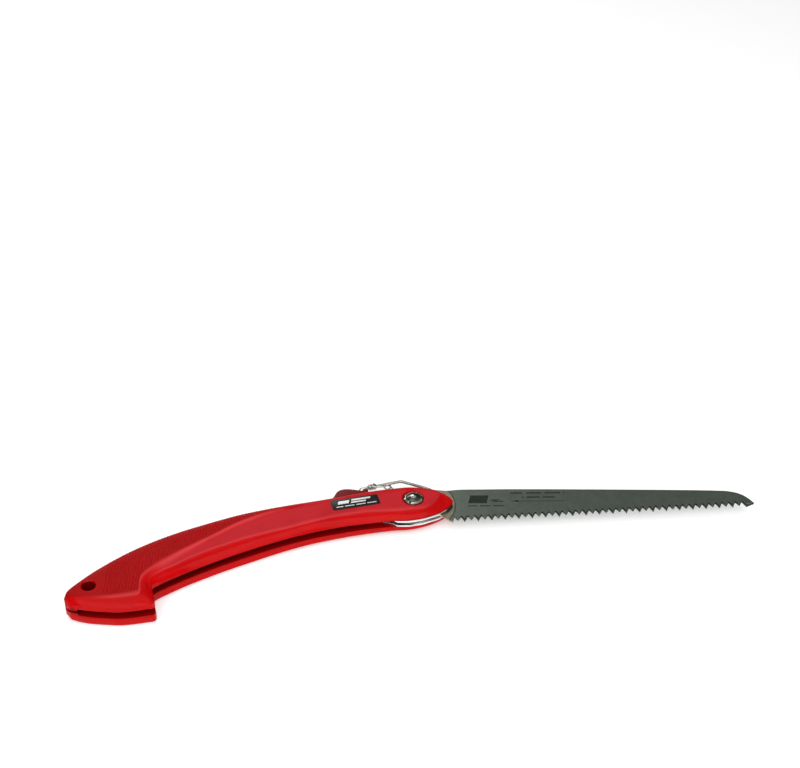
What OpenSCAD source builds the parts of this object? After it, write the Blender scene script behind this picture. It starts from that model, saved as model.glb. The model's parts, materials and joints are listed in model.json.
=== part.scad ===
// Folding pruning saw, lying open on its left side, with the blade pointing along +X.

/* [Blade] */
// Length from the pivot to the tip
blade_reach = 203; // [150:1:240]
// Thickness of the blade
blade_t = 1.4; // [1:0.1:1.6]
// Distance between teeth
tooth_pitch = 4; // [3:0.1:6]
// Depth of a tooth
tooth_depth = 3.7; // [2:0.1:4.5]
// Angle that the blade folds through
fold_angle = 154.2; // [150:0.1:156]

/* [Handle] */
// Angle between the open blade and the handle
handle_tilt = 20.3; // [18:0.1:22]
// Half of the handle's thickness over the grip
grip_half_t = 8.5; // [8:0.1:10]
// Half of the handle's thickness at the pivot
pivot_half_t = 6; // [5.8:0.1:6.5]
// Half of the width of the blade slot in the grip
slot_half_w = 2.2; // [2:0.1:2.4]
// Radius of the hole for a hanging cord
hang_r = 3.8; // [3:0.1:3.9]
// Thickness of each steel liner
liner_t = 1; // [0.8:0.1:1]

/* [Pivot] */
// Radius of the bolt's shank
bolt_r = 3.5; // [3:0.1:4]
// Radius of the bolt's head and of the nut
head_r = 5.8; // [5:0.1:6]
// Outer radius of the bush that the blade turns on
bush_r = 4.95; // [4.5:0.05:5.5]

/* [Lock] */
// Radius of the locking wire
wire_r = 0.9; // [0.6:0.05:0.9]
// Radius of the pin that the lock lever turns on
lever_pin_r = 1.4; // [1.2:0.1:1.5]
// Thickness of the lever plate
lever_t = 1.5; // [1:0.1:1.6]

/* [Hidden] */

$fn = 48;
eps = 0.02;
run_gap = 0.05;
liner_gap = 1;
front_slot_w = liner_gap + liner_t;

// Handle outline, seen from the right side: x runs to the nose, y to the back, pivot at 0,0.
back_line = [[-208.8, -12], [-206, -8.2], [-199.8, -4.1], [-189.2, 2.2], [-174.6, 9], [-161, 13.9],
    [-146.5, 17.3], [-131, 19.5], [-101, 21.5], [-72, 20.7], [-46, 18.2], [-23, 16.4], [-5, 13.6],
    [3, 11.6], [10, 8], [14.6, 5], [18.4, 0.6], [21, -4], [22, -6.6]];
belly_line = [[-161.9, -19], [-159.6, -17.5], [-153, -15.6], [-140.5, -12.4], [-122, -9], [-104, -6.6],
    [-85, -4.9], [-71, -4.5], [-58, -4.9], [-42, -6.6], [-27, -9.2], [-15.5, -11.8], [-8, -14.1],
    [0, -15], [10, -14.2], [17, -11.8], [20.5, -9.6], [22, -8]];
hook_line = [[-208.8, -14.6], [-207, -17.6], [-205.5, -18.6], [-198, -23.3], [-189.6, -27.5],
    [-182.4, -30.6], [-175.3, -32.3], [-168, -33.5], [-164.6, -33.9], [-163.2, -32.4]];
throat_x = -162.5;
half_t_line = [[-208.8, grip_half_t - 3], [-207, grip_half_t - 1.2], [-203, grip_half_t - 0.2],
    [-199, grip_half_t], [-100, grip_half_t], [0, pivot_half_t], [14, pivot_half_t - 0.4],
    [20, pivot_half_t - 1.2], [22, pivot_half_t - 2.2]];
back_round_line = [[-208.8, 1], [-203, 3], [-160, 4.5], [-60, 4.5], [-20, 3], [18, 2.2], [22, 0.5]];
flank_w_line = [[-208.8, 0.8], [-203, 2.5], [-163, 3], [-158, 4], [-150, 5.5], [-120, 6.6], [-60, 6.4],
    [-20, 5.2], [0, 5], [15, 3.2], [22, 0.6]];
lip_z_line = [[-208.8, 3], [-203, 5], [-163, 5.4], [-155, 4], [-140, 2.8], [0, 2.8], [22, 2.6]];

// The left half's belly wall stands nearly upright, with a small flank.
left_flank_w = 1.8;
left_lip_drop = 1.5;

// Blade outline: x runs to the tip, y to the spine, pivot at 0,0.
tooth_start = 24;
tooth_rise = 0.0709;
tooth_count = floor((blade_reach - 3 - tooth_start) / tooth_pitch);
spine_line = [[20.5, 13.6], [28, 14.5], [40, 14.6], [64, 14.6], [112, 13.8], [160, 12.7], [184.5, 11.8],
    [190.4, 11], [195, 9.4], [198.6, 6.6], [201.2, 3.2], [blade_reach, 0]];
heel_points = [[23, -15.2], [19.4, -12.6], [16.1, -9.6], [12, -9.2], [8, -11.2], [0, -13.5], [-8, -12.2],
    [-13, -9.4], [-14.6, -7.4]];
tang_points = [[-19.4, -5.2], [-22, -5.1], [-25.7, -4.7], [-27.5, -3.6], [-28.3, -1.4], [-27.3, 0.9],
    [-24.7, 3.9], [-20.6, 7.6], [-16.7, 9.9], [-12.6, 11.6], [-8.9, 12.8], [-4, 14.6], [2, 15.9],
    [8, 15.8], [14, 14.3]];
tang_r = 28.4;

// Lock, in the handle's frame.
lever_axis = [-35, 14.2];
wire_points = [[-17.2, 25.7], [1.5, 24.6], [13.3, 12.9], [15.6, 9.8], [15.6, 4.9]];
wire_angle = atan((wire_points[1][1] - wire_points[0][1]) / (wire_points[1][0] - wire_points[0][0]));
notch_half_w = 1.2;
notch_floor = 4.5;
coil_centre = [-9.2, 19.4];
coil_r = 1.9;
coil_wire_r = 0.45;
coil_low_z = 3.2;
coil_rise = -0.95;
coil_turn = 480;
foot_end = [coil_centre[0] + coil_r, 11, coil_low_z];
coil_arm_end = [-17.4, 23.2, 2.05];

screw_places = [[-70, 13.5], [-118, 9.5], [-172, -1]];
liner_pin_places = [[-21, 9.5], [13.5, -7.5]];
hang_place = [-194.6, -10.2];
label_size = [28.6, 9.2, 0.3];
label_place = [-33.8, 7.4];
label_turn = -5.6;

function segment(x, p, i = 0) = i >= len(p) - 2 || x < p[i + 1][0] ? i : segment(x, p, i + 1);

function slope(p, i) =
    let(a = max(i - 1, 0), b = min(i + 1, len(p) - 1))
    (p[b][1] - p[a][1]) / (p[b][0] - p[a][0]);

// Smooth curve through the points p, read at x.
function smooth(x, p) =
    let(i = segment(x, p), h = p[i + 1][0] - p[i][0], t = (x - p[i][0]) / h)
    p[i][1] * (2 * pow(t, 3) - 3 * pow(t, 2) + 1) + p[i + 1][1] * (3 * pow(t, 2) - 2 * pow(t, 3))
    + slope(p, i) * h * (pow(t, 3) - 2 * pow(t, 2) + t) + slope(p, i + 1) * h * (pow(t, 3) - pow(t, 2));

function belly_y(x) = x < throat_x ? smooth(x, hook_line) : smooth(x, belly_line);

stations = concat([-208.8, -208, -207, -205.5, -203], [for (x = [-199:6:-169]) x],
    [-166.5, -164.6, -163.2, -161.9, -160.5, -158], [for (x = [-153:6:-9]) x], [-5, 0, 5, 10, 14, 17, 19.5, 21, 22]);

// Cross-section of one shell at a station: y and z, from the back over the face to the belly.
function profile(x, left) =
    let(top = smooth(x, back_line), low = belly_y(x), half_t = lookup(x, half_t_line),
        r = lookup(x, back_round_line),
        flank = left ? min(left_flank_w, lookup(x, flank_w_line)) : lookup(x, flank_w_line),
        lip = left ? half_t - left_lip_drop : lookup(x, lip_z_line))
    concat([[x, top, -1]],
        [for (a = [0:22.5:90]) [x, top - r * (1 - cos(a)), half_t - r * (1 - sin(a))]],
        [[x, low + flank, half_t],
         [x, low + flank * 0.4, lip + (half_t - lip) * 0.64],
         [x, low, min(lip, half_t - 0.6)],
         [x, low, -1]]);

profile_n = len(profile(0, false));

// Path through the corners p, with each inner corner rounded off by a curve of reach d.
function rounded(p, d) = concat([p[0]],
    [for (i = [1:len(p) - 2])
        let(back = p[i - 1] - p[i], on = p[i + 1] - p[i],
            a = p[i] + d * back / norm(back), c = p[i] + d * on / norm(on))
        for (t = [0:0.25:1]) pow(1 - t, 2) * a + 2 * t * (1 - t) * p[i] + pow(t, 2) * c],
    [p[len(p) - 1]]);

function direction(path, i) =
    let(run = path[min(i + 1, len(path) - 1)] - path[max(i - 1, 0)])
    run / norm(run);

wire_path = rounded([for (p = wire_points) [p[0], p[1], 0]], 1.4);

// The row frame's origin is at the middle of the box's bottom.
function turned(p) = [p[0] * cos(handle_tilt) - p[1] * sin(handle_tilt),
    p[0] * sin(handle_tilt) + p[1] * cos(handle_tilt)];
outline_turned = [for (x = stations) for (y = [smooth(x, back_line), belly_y(x)]) turned([x, y])];
x_low = min([for (p = outline_turned) p[0]]);
y_low = min([for (p = outline_turned) p[1]]);
y_high = max([for (i = [0:len(wire_path) - 1])
    turned(wire_path[i])[1] + wire_r * abs(turned(direction(wire_path, i))[0])]);
origin = [-(x_low + blade_reach) / 2, -(y_low + y_high) / 2, grip_half_t];

module place() {
    translate(origin) children();
}

module in_handle() {
    place() rotate([0, 0, handle_tilt]) children();
}

// One half of the handle, with 1 mm to spare below its parting face.
module shell_block(left) {
    n = profile_n;
    last = len(stations) - 1;
    points = [for (x = stations) each profile(x, left)];
    sides = [for (s = [0:last - 1]) for (i = [0:n - 1])
        let(j = (i + 1) % n, a = s * n + i, b = s * n + j, c = (s + 1) * n + j, d = (s + 1) * n + i)
        each [[a, c, b], [a, d, c]]];
    caps = [[for (i = [0:n - 1]) i], [for (i = [n - 1:-1:0]) last * n + i]];
    polyhedron(points = points, faces = concat(sides, caps), convexity = 6);
}

// Space for the folded blade, its teeth and the swinging tang.
module grip_slot() {
    tail_r = blade_reach + 1.3;
    roof = [[-52, 10.2], [-100, 1.7], [-150, -6.8], [-190, -14.1], [-201, -15.6]];
    tail = [for (a = [184.9:1.2:192]) [tail_r * cos(a), tail_r * sin(a)]];
    linear_extrude(2 * slot_half_w, center = true)
        polygon(concat([[-40, 11.9]], roof, tail, [[-196, -60], [-40, -60]]));
}

module front_slot() {
    linear_extrude(2 * front_slot_w, center = true)
        polygon([[-51, 40], [-51, 10], [-40, 8], [-40, -60], [40, -60], [40, 40]]);
}

module pad_pocket() {
    linear_extrude(8, center = true) polygon([[-50.5, 40], [-50.5, 9.6], [-26, 9.6], [-26, 40]]);
}

module liner_pin_holes(r) {
    for (p = liner_pin_places)
        translate([p[0], p[1], 0]) cylinder(h = 4, r = r);
}

module shell_body(left) {
    difference() {
        shell_block(left);
        translate([-250, -60, -5]) cube([300, 120, 5]);
        grip_slot();
        front_slot();
        pad_pocket();
        liner_pin_holes(1.1);
        translate([hang_place[0], hang_place[1], -1]) cylinder(h = 20, r = hang_r);
        translate([0, 0, -1]) cylinder(h = 20, r = bolt_r);
        translate([0, 0, pivot_half_t - 1.2]) cylinder(h = 20, r = head_r + 0.5);
        translate([lever_axis[0], lever_axis[1], -1]) cylinder(h = 6.4, r = lever_pin_r);
    }
}

module right_shell() {
    color([0.72, 0.05, 0.05]) in_handle() difference() {
        shell_body(false);
        for (p = screw_places)
            translate([p[0], p[1], -1]) cylinder(h = 7, r = 2.3);
        translate(foot_end) rotate([-90, 0, 0]) cylinder(h = 10, r = coil_wire_r + run_gap);
    }
}

module left_shell() {
    color([0.72, 0.05, 0.05]) in_handle() difference() {
        mirror([0, 0, 1]) shell_body(true);
        for (p = screw_places)
            translate([p[0], p[1], 0]) {
                translate([0, 0, -20]) cylinder(h = 21, r = 1.6);
                translate([0, 0, -20]) cylinder(h = 20 - 5.2, r = 3);
            }
    }
}

module liner_outline() {
    polygon([[-17, -9.6], [-14.6, -12.6], [-8, -15], [0, -15.9], [10.2, -15.1], [17.2, -12.7], [21.2, -9.8],
        [22.2, -7.2], [20.4, -3.6], [17.2, 1], [13.5, 4.4], [9.5, 6.8], [3, 10], [-5, 12.3], [-12, 13.4],
        [-23, 14.8], [-28, 14.9], [-29.4, 10], [-28.4, 2], [-24, -5]]);
}

module liner() {
    difference() {
        linear_extrude(liner_t) liner_outline();
        translate([0, 0, -1]) cylinder(h = 4, r = bolt_r);
        for (p = liner_pin_places)
            translate([p[0], p[1], -1]) cylinder(h = 4, r = 1.1);
    }
}

module right_liner() {
    color([0.75, 0.76, 0.78]) in_handle() translate([0, 0, liner_gap]) liner();
}

module left_liner() {
    color([0.75, 0.76, 0.78]) in_handle() mirror([0, 0, 1]) translate([0, 0, liner_gap]) liner();
}

module liner_pins() {
    color([0.6, 0.6, 0.62]) in_handle()
        for (side = [0, 1])
            mirror([0, 0, side])
                for (p = liner_pin_places)
                    translate([p[0], p[1], liner_gap + eps]) cylinder(h = 2.9, r = 1.1);
}

module shell_screws() {
    color([0.25, 0.25, 0.27]) in_handle()
        for (p = screw_places)
            translate([p[0], p[1], 0]) difference() {
                union() {
                    translate([0, 0, -5.2]) cylinder(h = 9.7, r = 1.45);
                    translate([0, 0, -7.2]) cylinder(h = 2, r = 2.75);
                }
                for (a = [0, 90])
                    rotate([0, 0, a]) translate([-1.6, -0.3, -7.3]) cube([3.2, 0.6, 1.1]);
            }
}

module screw_inserts() {
    color([0.78, 0.62, 0.3]) in_handle()
        for (p = screw_places)
            translate([p[0], p[1], 0.6]) difference() {
                cylinder(h = 5.4, r = 2.3);
                translate([0, 0, -1]) cylinder(h = 8, r = 1.45);
            }
}

module name_plate() {
    fall = atan((grip_half_t - pivot_half_t) / 100);
    z = lookup(label_place[0], half_t_line) + eps;
    color([0.05, 0.05, 0.06]) in_handle()
        translate([label_place[0], label_place[1], z])
            rotate([0, fall, 0]) rotate([0, 0, label_turn]) linear_extrude(label_size[2])
                union() {
                    square([label_size[0] - 2, label_size[1]], center = true);
                    square([label_size[0], label_size[1] - 2], center = true);
                    for (sx = [-1, 1]) for (sy = [-1, 1])
                        translate([sx * (label_size[0] / 2 - 1), sy * (label_size[1] / 2 - 1)]) circle(r = 1);
                }
}

module pivot_bolt() {
    floor_z = pivot_half_t - 1.2;
    dome = 1.3;
    dome_r = (pow(head_r, 2) + pow(dome, 2)) / (2 * dome);
    color([0.85, 0.86, 0.88]) in_handle() {
        difference() {
            union() {
                translate([0, 0, -floor_z - 1.1]) cylinder(h = 2 * floor_z + 1.1, r = bolt_r - run_gap / 2);
                translate([0, 0, floor_z]) cylinder(h = 1.3, r = head_r);
                translate([0, 0, floor_z + 1.3]) intersection() {
                    cylinder(h = dome + 1, r = head_r);
                    translate([0, 0, dome - dome_r]) sphere(r = dome_r, $fn = 96);
                }
            }
            for (a = [45, 135, 225, 315])
                rotate([0, 0, a]) translate([head_r * 0.78, -0.55, floor_z + 1.4]) cube([2, 1.1, 3]);
        }
    }
}

module pivot_bush() {
    color([0.78, 0.62, 0.3]) in_handle() difference() {
        translate([0, 0, -liner_gap]) cylinder(h = 2 * liner_gap, r = bush_r);
        translate([0, 0, -2]) cylinder(h = 4, r = bolt_r);
    }
}

module pivot_nut() {
    top = -(pivot_half_t - 1.2) - 0.9;
    color([0.7, 0.71, 0.74]) in_handle() difference() {
        translate([0, 0, top - 1.4]) cylinder(h = 1.4, r = head_r);
        translate([0, 0, -(pivot_half_t - 1.2) - 1.1]) cylinder(h = 3, r = bolt_r - run_gap / 2);
        translate([-head_r, -0.7, top - 2]) cube([2 * head_r, 1.4, 1]);
    }
}

module spring_washer() {
    top = -(pivot_half_t - 1.2);
    color([0.5, 0.5, 0.53]) in_handle() difference() {
        translate([0, 0, top - 0.9]) cylinder(h = 0.9, r = head_r - 0.3);
        translate([0, 0, top - 2]) cylinder(h = 3, r = bolt_r);
        rotate([0, 0, 200]) translate([bolt_r - 0.5, -0.3, top - 2]) cube([4, 0.6, 3]);
    }
}

module blade_washer() {
    difference() {
        cylinder(h = liner_gap - blade_t / 2 - run_gap, r = 7.5);
        translate([0, 0, -1]) cylinder(h = 3, r = bush_r + run_gap);
    }
}

module right_blade_washer() {
    color([0.72, 0.5, 0.28]) place() translate([0, 0, blade_t / 2 + eps]) blade_washer();
}

module left_blade_washer() {
    color([0.72, 0.5, 0.28]) place() mirror([0, 0, 1]) translate([0, 0, blade_t / 2 + eps]) blade_washer();
}

function tooth_tip_y(x) = -14.4 + (x - 30.7) * tooth_rise;

module blade_outline() {
    teeth = [for (i = [0:tooth_count - 1])
        let(x = tooth_start + (i + 0.5) * tooth_pitch)
        each [[x - tooth_pitch / 2, tooth_tip_y(x) + tooth_depth], [x, tooth_tip_y(x)]]];
    spine = [for (i = [len(spine_line) - 1:-1:0]) spine_line[i]];
    tang = [for (i = [len(tang_points) - 1:-1:0]) tang_points[i]];
    heel = [for (i = [len(heel_points) - 1:-1:0]) heel_points[i]];
    polygon(concat(teeth, spine, tang, heel));
}

// Slot with a ramp that the wire's end drops into, at a handle angle seen from the blade.
module wire_notch(angle) {
    x = wire_points[4][0];
    ramp = [[x - notch_half_w, 9.2], [x - 3.5, 12.3], [x - 3.5, 30]];
    rotate([0, 0, angle]) linear_extrude(6, center = true)
        polygon(concat([[x + notch_half_w, 30], [x + notch_half_w, notch_floor], [x - notch_half_w, notch_floor]],
            ramp));
}

module blade() {
    color([0.55, 0.58, 0.56]) place() difference() {
        linear_extrude(blade_t, center = true) blade_outline();
        translate([0, 0, -2]) cylinder(h = 4, r = bush_r + run_gap);
        wire_notch(handle_tilt);
        wire_notch(handle_tilt + fold_angle);
    }
}

module lever_outline() {
    polygon([[-44.5, 19], [-44, 16.8], [-38, 15], [-37, 12], [-33, 12], [-31.5, 13.6], [-28.6, 16], [-25.5, 19.8],
        [-22.5, 23], [-20, 24.6], [-17.2, 24.9], [-17.2, 26.5], [-24, 26.5], [-27, 23.4], [-30, 21.6], [-38, 21.6]]);
}

module lever_blank(t) {
    linear_extrude(t, center = true) difference() {
        union() {
            lever_outline();
            translate(lever_axis) circle(r = 2.9);
        }
        translate([-36.2, 9]) square([2.4, 2.3]);
    }
}

module lever_plate() {
    color([0.7, 0.72, 0.72]) in_handle() difference() {
        lever_blank(lever_t);
        translate([lever_axis[0], lever_axis[1], -2]) cylinder(h = 4, r = lever_pin_r + run_gap);
        for (x = [-40, -31])
            translate([x, 19.5, -2]) cylinder(h = 4, r = 0.9);
    }
}

module pad_outline() {
    polygon([[-46, 17.4], [-44.6, 19.6], [-42, 22.6], [-39.5, 25.4], [-36.7, 26.7], [-33, 26.2], [-29, 24.2],
        [-25.4, 22.2], [-24, 20.4], [-24.6, 18.4], [-30, 17.8], [-40, 17.2]]);
}

module thumb_pad() {
    color([0.28, 0.04, 0.05]) in_handle() difference() {
        linear_extrude(7, center = true) pad_outline();
        lever_blank(lever_t);
        for (x = [-40, -31])
            translate([x, 19.5, -6]) cylinder(h = 12, r = 0.9);
    }
}

module pad_rivets() {
    color([0.6, 0.6, 0.62]) in_handle()
        for (x = [-40, -31])
            translate([x, 19.5, -3.4]) cylinder(h = 6.8, r = 0.9);
}

module lever_pin() {
    color([0.7, 0.71, 0.74]) in_handle()
        translate([lever_axis[0], lever_axis[1], -5.3]) cylinder(h = 10.6, r = lever_pin_r);
}

module lever_spacers() {
    color([0.78, 0.62, 0.3]) in_handle()
        for (side = [0, 1])
            mirror([0, 0, side]) translate([lever_axis[0], lever_axis[1], lever_t / 2 + run_gap]) difference() {
                cylinder(h = 4 - lever_t / 2 - 2 * run_gap, r = 2.5);
                translate([0, 0, -1]) cylinder(h = 6, r = lever_pin_r);
            }
}

module ferrule() {
    color([0.6, 0.6, 0.58]) in_handle() difference() {
        translate([-19, 24, -1.7]) cube([5, 3.4, 3.4]);
        lever_blank(lever_t);
        translate([wire_points[0][0], wire_points[0][1], 0]) rotate([0, 90, wire_angle]) cylinder(h = 8, r = wire_r);
        translate([0, 0, -4]) cylinder(h = 8, r = tang_r + 0.35, $fn = 180);
    }
}

// Round wire along a path of points, none of which runs along Z.
module wire(path, r, sides = 12) {
    last = len(path) - 1;
    points = [for (i = [0:last])
        let(t = direction(path, i), side = cross(t, [0, 0, 1]) / norm(cross(t, [0, 0, 1])), up = cross(side, t))
        for (k = [0:sides - 1]) path[i] + r * (cos(k * 360 / sides) * side + sin(k * 360 / sides) * up)];
    walls = [for (i = [0:last - 1]) for (k = [0:sides - 1])
        let(n = (k + 1) % sides, a = i * sides + k, b = i * sides + n)
        each [[a, b + sides, a + sides], [a, b, b + sides]]];
    ends = [[for (k = [sides - 1:-1:0]) k], [for (k = [0:sides - 1]) last * sides + k]];
    polyhedron(points = points, faces = concat(walls, ends), convexity = 6);
}

module locking_wire() {
    color([0.8, 0.81, 0.83]) in_handle() wire(wire_path, wire_r);
}

module lock_spring() {
    coil = [for (a = [0:20:coil_turn]) [coil_centre[0] + coil_r * cos(a), coil_centre[1] + coil_r * sin(a),
        coil_low_z + coil_rise * a / 360]];
    color([0.75, 0.76, 0.78]) in_handle()
        wire(concat([foot_end], coil, [coil_arm_end]), coil_wire_r, 10);
}

right_shell();
left_shell();
right_liner();
left_liner();
liner_pins();
shell_screws();
screw_inserts();
name_plate();
pivot_bolt();
pivot_bush();
pivot_nut();
spring_washer();
right_blade_washer();
left_blade_washer();
blade();
lever_plate();
thumb_pad();
pad_rivets();
lever_pin();
lever_spacers();
ferrule();
locking_wire();
lock_spring();
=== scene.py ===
import json
import math
import bmesh
import bpy
import numpy as np
from mathutils import Matrix, Vector


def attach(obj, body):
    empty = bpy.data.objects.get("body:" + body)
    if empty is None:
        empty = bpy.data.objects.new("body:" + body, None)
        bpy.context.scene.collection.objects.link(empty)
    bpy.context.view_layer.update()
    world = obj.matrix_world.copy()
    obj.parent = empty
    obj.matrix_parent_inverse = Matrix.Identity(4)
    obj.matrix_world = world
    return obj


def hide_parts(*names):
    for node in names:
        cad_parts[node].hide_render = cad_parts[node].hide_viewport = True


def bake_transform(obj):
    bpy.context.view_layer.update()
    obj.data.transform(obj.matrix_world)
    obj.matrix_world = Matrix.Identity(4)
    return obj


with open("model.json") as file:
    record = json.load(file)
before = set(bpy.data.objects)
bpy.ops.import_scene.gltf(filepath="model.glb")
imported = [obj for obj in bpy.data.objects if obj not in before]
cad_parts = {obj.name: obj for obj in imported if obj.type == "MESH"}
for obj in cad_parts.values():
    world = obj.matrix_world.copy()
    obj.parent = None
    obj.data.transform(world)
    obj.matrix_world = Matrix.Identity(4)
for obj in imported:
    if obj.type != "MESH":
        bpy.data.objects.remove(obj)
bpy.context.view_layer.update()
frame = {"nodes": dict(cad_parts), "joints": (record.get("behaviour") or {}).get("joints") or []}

mm = 0.001
perMetre = 1000
pivot = Vector(frame["joints"][0]["pos_m"])
tiltDegrees = 20.3
foldDegrees = 154.2
handleTilt = math.radians(tiltDegrees)
hangPlace = (-194.6, -10.2)
toHandle = Matrix.Translation(pivot) @ Matrix.Rotation(handleTilt, 4, "Z") @ Matrix.Scale(mm, 4)
toBlade = Matrix.Translation(pivot) @ Matrix.Scale(mm, 4)


class Num:  # a socket that takes part in Python expressions
    def __init__(self, recipe, socket):
        self.recipe, self.socket = recipe, socket

    def join(self, operation, other, flipped=False):
        a, b = (other, self) if flipped else (self, other)
        return self.recipe.add("ShaderNodeMath", {"operation": operation}, {0: a, 1: b})

    def __add__(self, other):
        return self.join("ADD", other)

    def __radd__(self, other):
        return self.join("ADD", other, True)

    def __sub__(self, other):
        return self.join("SUBTRACT", other)

    def __rsub__(self, other):
        return self.join("SUBTRACT", other, True)

    def __mul__(self, other):
        return self.join("MULTIPLY", other)

    def __rmul__(self, other):
        return self.join("MULTIPLY", other, True)

    def __mod__(self, other):
        return self.join("FLOORED_MODULO", other)

    def __gt__(self, other):
        return self.join("GREATER_THAN", other)

    def __lt__(self, other):
        return self.join("LESS_THAN", other)

    def highest(self, other):
        return self.join("MAXIMUM", other)


class Recipe:  # one material, built node by node
    def __init__(self, name, **shader):
        self.material = bpy.data.materials.new(name)
        self.material.use_nodes = True
        self.tree = self.material.node_tree
        self.tree.nodes.clear()
        self.shader = self.tree.nodes.new("ShaderNodeBsdfPrincipled")
        output = self.tree.nodes.new("ShaderNodeOutputMaterial")
        self.tree.links.new(self.shader.outputs[0], output.inputs[0])
        self.feed(**shader)

    def feed(self, **sockets):
        for name, value in sockets.items():
            socket = self.shader.inputs[name.replace("_", " ")]  # names as in the shader, with underscores
            if isinstance(value, Num):
                self.tree.links.new(value.socket, socket)
            else:
                socket.default_value = value

    def add(self, kind, settings=None, values=None, output=0):
        node = self.tree.nodes.new(kind)
        for key, value in (settings or {}).items():
            if key == "stops":
                for i, (place, colour) in enumerate(value):
                    stop = node.color_ramp.elements[i] if i < 2 else node.color_ramp.elements.new(place)
                    stop.position, stop.color = place, colour
            else:
                setattr(node, key, value)
        for key, value in (values or {}).items():
            if isinstance(value, Num):
                self.tree.links.new(value.socket, node.inputs[key])
            else:
                node.inputs[key].default_value = value
        return Num(self, node.outputs[output])

    def place(self, inHandle=True):  # millimetres, along the handle or along the blade
        turn = -handleTilt if inHandle else 0
        move = Matrix.Rotation(turn, 3, "Z") @ pivot * -perMetre
        point = self.add("ShaderNodeTexCoord", output=3)
        return self.add("ShaderNodeMapping", {"vector_type": "POINT"},
                        {0: point, "Location": move, "Rotation": (0, 0, turn), "Scale": (perMetre,) * 3})

    def stretch(self, point, sizes, turn=0):
        return self.add("ShaderNodeMapping", {}, {0: point, "Rotation": (0, 0, turn), "Scale": sizes})

    def parts(self, point):
        return [self.add("ShaderNodeSeparateXYZ", {}, {0: point}, output=i) for i in range(3)]

    def noise(self, point, scale, detail=3.0, rough=0.5):
        return self.add("ShaderNodeTexNoise", {}, {"Vector": point, "Scale": scale, "Detail": detail,
                                                    "Roughness": rough})

    def rise(self, value, low, high, start=0.0, end=1.0):  # smooth step from start to end
        return self.add("ShaderNodeMapRange", {"interpolation_type": "SMOOTHSTEP"},
                        {0: value, 1: low, 2: high, 3: start, 4: end})

    def tint(self, mask, first, second):
        return self.add("ShaderNodeMix", {"data_type": "RGBA"}, {0: mask, 6: first, 7: second}, output=2)

    def attribute(self, name):
        return self.add("ShaderNodeAttribute", {"attribute_name": name}, output=2)

    def fromAxis(self, x, y):
        return self.add("ShaderNodeMath", {"operation": "SQRT"}, {0: x * x + y * y})

    def fed(self, name):  # what already feeds a socket of the shader
        return Num(self, self.shader.inputs[name].links[0].from_socket)

    def bump(self, height, distance, strength):
        return self.add("ShaderNodeBump", {}, {"Height": height, "Distance": distance, "Strength": strength})


def rgb(red, green, blue):
    return (red, green, blue, 1.0)


redLook = {
    "main": rgb(0.34, 0.0008, 0.0014), "bright": rgb(0.47, 0.0010, 0.0020), "panel": rgb(0.47, 0.016, 0.022),
    "edgeHighlight": rgb(0.68, 0.060, 0.065), "grime": rgb(0.24, 0.001, 0.002), "recessShade": rgb(0.10, 0.0004, 0.0006),
    "gloss": 0.24, "satin": 0.40,
}


def mouldedRed():  # glossy shell plastic, satin where the smooth panel is
    r = Recipe("moulded_red", IOR=1.45, Coat_Roughness=0.12, Specular_IOR_Level=0.06)
    point = r.place()
    panel, face, recessShade = r.attribute("panel"), r.attribute("face"), r.attribute("recessShade")
    clouds = r.noise(point, 0.05, 4)
    specks = r.noise(point, 2.4, 2)
    # painted sheen: the satin panel is tinted a paler pink than the flank; its higher roughness is the
    # panel's own satin finish
    colour = r.tint(panel, redLook["bright"], redLook["panel"])
    colour = r.tint(face, colour, redLook["main"])
    # painted highlight: the red is tinted pale along the raised edges, the wedge band and the flank crease
    colour = r.tint(r.attribute("edgeHighlight") * (0.35 + 0.5 * clouds), colour, redLook["edgeHighlight"])
    colour = r.tint(r.rise(clouds, 0.42, 0.72) * 0.22, colour, redLook["grime"])
    scuffs = r.noise(r.stretch(point, (0.16, 2.2, 1.0), 0.35), 1.0, 5, 0.6)
    marks = r.rise(scuffs, 0.64, 0.70)
    x, y, z = r.parts(point)
    # painted shade: the red is darkened on the walls within the slot and in the hang hole
    holeShade = (x - hangPlace[0]) * (x - hangPlace[0]) + (y - hangPlace[1]) * (y - hangPlace[1]) < 3.86 ** 2
    colour = r.tint(recessShade.highest(0.8 * holeShade), colour, redLook["recessShade"])
    rough = redLook["gloss"] + (redLook["satin"] - redLook["gloss"]) * panel + 0.16 * marks + 0.05 * clouds
    r.feed(Base_Color=colour, Roughness=rough + 0.08 * face, Coat_Weight=0.05 - 0.04 * panel,
           Normal=r.bump(0.7 * specks + 0.5 * marks, 0.00005, 0.22))
    return r.material


def metal(name, light, dark, gloss, grain=(0.12, 3.0, 3.0), turn=0.0, worn=0.12, depth=0.00002,
          inHandle=True):
    r = Recipe(name, Metallic=1.0)
    point = r.place(inHandle)
    lines = r.noise(r.stretch(point, grain, turn), 1.6, 5, 0.65)
    clouds = r.noise(point, 0.18, 4)
    colour = r.tint(r.rise(clouds, 0.35, 0.7), light, dark)
    rough = gloss + worn * r.rise(lines, 0.4, 0.75) + 0.03 * r.rise(clouds, 0.3, 0.8)
    r.feed(Base_Color=colour, Roughness=rough, Normal=r.bump(lines, depth, 0.35))
    return r


def barsOn(x, y):  # a function that masks one slanted bar
    def bar(x0, x1, y0, y1, slant=0.0):
        across = x - slant * y
        return (across > x0) * (across < x1) * (y > y0) * (y < y1)
    return bar


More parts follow.
